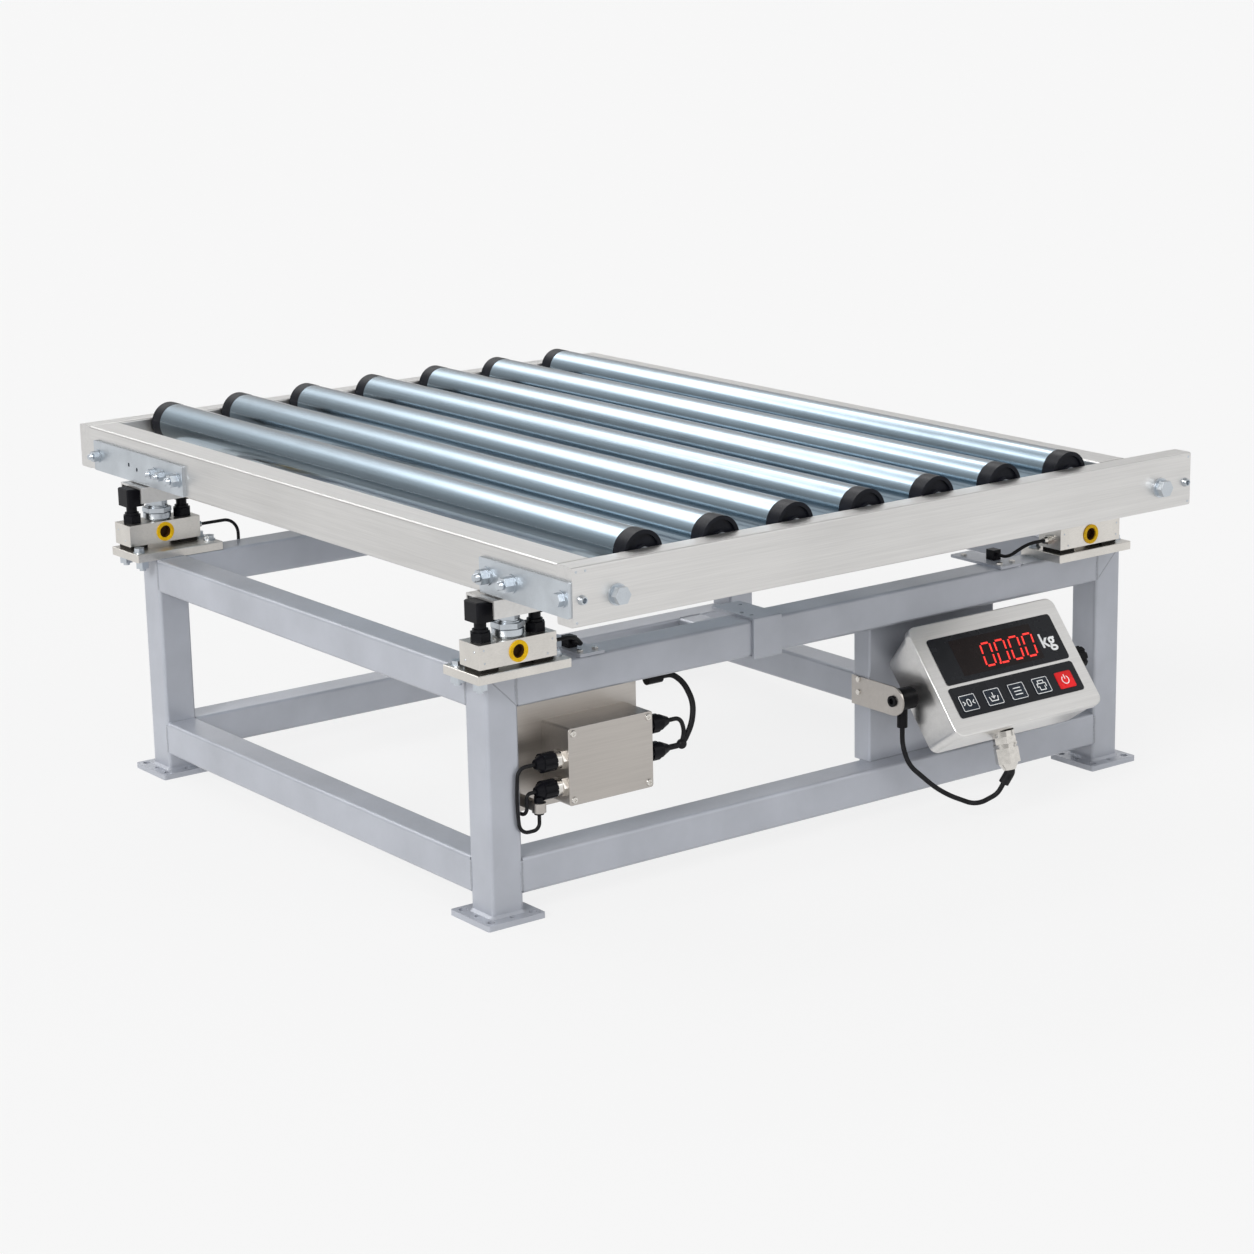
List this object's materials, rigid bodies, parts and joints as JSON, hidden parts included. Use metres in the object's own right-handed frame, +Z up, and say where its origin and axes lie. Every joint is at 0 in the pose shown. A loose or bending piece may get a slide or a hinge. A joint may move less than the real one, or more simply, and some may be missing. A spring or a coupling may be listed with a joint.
{
  "type": "conveyor scale",
  "caption": "Roller conveyor scale: a live roller deck carried on load cell modules over a low tube frame, with a tilting display and a junction box.",
  "frame": {"origin": "on the floor, at the centre of the four legs' foot plates", "axes": "+X across the rollers towards the display's end, +Y along the rollers away from the display, +Z up"},
  "size_m": [1.192, 1.328, 0.5297],
  "materials": {
    "frame_paint": "satin silver-grey paint",
    "stainless": "brushed stainless steel",
    "zinc": "bright zinc plating",
    "black_plastic": "black moulded plastic",
    "cable_rubber": "black cable sheath",
    "ring_yellow": "yellow seal",
    "display_black": "glossy black film",
    "key_red": "red key",
    "digit_red": "lit red segment",
    "circuit_green": "circuit board"
  },
  "bodies": {
    "base_frame": {"legs": "frame_paint", "top_rails": "frame_paint", "low_rails": "frame_paint", "tie_rail": "frame_paint", "rail_saddle": "frame_paint", "cable_plates": "stainless", "indicator_post": "frame_paint", "indicator_yoke": "stainless", "jbox_hanger": "stainless", "jbox_body": "stainless", "jbox_lid": "stainless", "jbox_board": "circuit_green", "small_screws": "zinc", "gland_nuts": "zinc", "gland_caps": "black_plastic", "box_cables": "cable_rubber", "cell_cables": "cable_rubber", "module_plates": "stainless", "load_beams": "stainless", "load_feet": "stainless", "beam_rings": "ring_yellow", "beam_spacers": "stainless", "stop_posts": "black_plastic", "module_bolts": "zinc"},
    "live_deck": {"deck_front": "stainless", "deck_rear": "stainless", "deck_left": "stainless", "deck_right": "stainless", "corner_plates": "zinc", "load_channels": "stainless", "deck_bolts": "zinc", "roller_shafts": "zinc"},
    "indicator": {"indicator_case": "stainless", "indicator_bezel": "stainless", "display_window": "display_black", "display_digits": "digit_red", "keypad_panel": "display_black", "indicator_board": "circuit_green", "pivot_knobs": "black_plastic", "indicator_gland": "zinc", "indicator_cable": "cable_rubber"},
    "roller_1": {"roller_1_tube": "zinc", "roller_1_caps": "black_plastic"},
    "roller_2": {"roller_2_tube": "zinc", "roller_2_caps": "black_plastic"},
    "roller_3": {"roller_3_tube": "zinc", "roller_3_caps": "black_plastic"},
    "roller_4": {"roller_4_tube": "zinc", "roller_4_caps": "black_plastic"},
    "roller_5": {"roller_5_tube": "zinc", "roller_5_caps": "black_plastic"},
    "roller_6": {"roller_6_tube": "zinc", "roller_6_caps": "black_plastic"},
    "roller_7": {"roller_7_tube": "zinc", "roller_7_caps": "black_plastic"},
    "key_1_button": {"key_1": "display_black"},
    "key_2_button": {"key_2": "display_black"},
    "key_3_button": {"key_3": "display_black"},
    "key_4_button": {"key_4": "display_black"},
    "key_5_button": {"key_5": "key_red"}
  },
  "joints": [
    {"name": "deck_lift", "type": "slide", "parent": "base_frame", "child": "live_deck", "axis": [0, 0, 1], "range_m": [0, 0.002]},
    {"name": "indicator_tilt", "type": "hinge", "parent": "base_frame", "child": "indicator", "pos_m": [0.271, -0.484, 0.1843], "axis": [1, 0, 0], "range_deg": [-2, 15]},
    {"name": "roller_1_spin", "type": "hinge", "parent": "live_deck", "child": "roller_1", "pos_m": [-0.426, 0, 0.4995], "axis": [0, 1, 0], "continuous": true},
    {"name": "roller_2_spin", "type": "hinge", "parent": "live_deck", "child": "roller_2", "pos_m": [-0.3027, 0, 0.4995], "axis": [0, 1, 0], "continuous": true},
    {"name": "roller_3_spin", "type": "hinge", "parent": "live_deck", "child": "roller_3", "pos_m": [-0.1794, 0, 0.4995], "axis": [0, 1, 0], "continuous": true},
    {"name": "roller_4_spin", "type": "hinge", "parent": "live_deck", "child": "roller_4", "pos_m": [-0.0561, 0, 0.4995], "axis": [0, 1, 0], "continuous": true},
    {"name": "roller_5_spin", "type": "hinge", "parent": "live_deck", "child": "roller_5", "pos_m": [0.0672, 0, 0.4995], "axis": [0, 1, 0], "continuous": true},
    {"name": "roller_6_spin", "type": "hinge", "parent": "live_deck", "child": "roller_6", "pos_m": [0.1905, 0, 0.4995], "axis": [0, 1, 0], "continuous": true},
    {"name": "roller_7_spin", "type": "hinge", "parent": "live_deck", "child": "roller_7", "pos_m": [0.3138, 0, 0.4995], "axis": [0, 1, 0], "continuous": true},
    {"name": "key_1_press", "type": "slide", "parent": "indicator", "child": "key_1_button", "axis": [0, 0.7749, -0.632], "range_m": [0, 0.0008], "stiffness_N_per_m": 400},
    {"name": "key_2_press", "type": "slide", "parent": "indicator", "child": "key_2_button", "axis": [0, 0.7749, -0.632], "range_m": [0, 0.0008], "stiffness_N_per_m": 400},
    {"name": "key_3_press", "type": "slide", "parent": "indicator", "child": "key_3_button", "axis": [0, 0.7749, -0.632], "range_m": [0, 0.0008], "stiffness_N_per_m": 400},
    {"name": "key_4_press", "type": "slide", "parent": "indicator", "child": "key_4_button", "axis": [0, 0.7749, -0.632], "range_m": [0, 0.0008], "stiffness_N_per_m": 400},
    {"name": "key_5_press", "type": "slide", "parent": "indicator", "child": "key_5_button", "axis": [0, 0.7749, -0.632], "range_m": [0, 0.0008], "stiffness_N_per_m": 400}
  ]
}
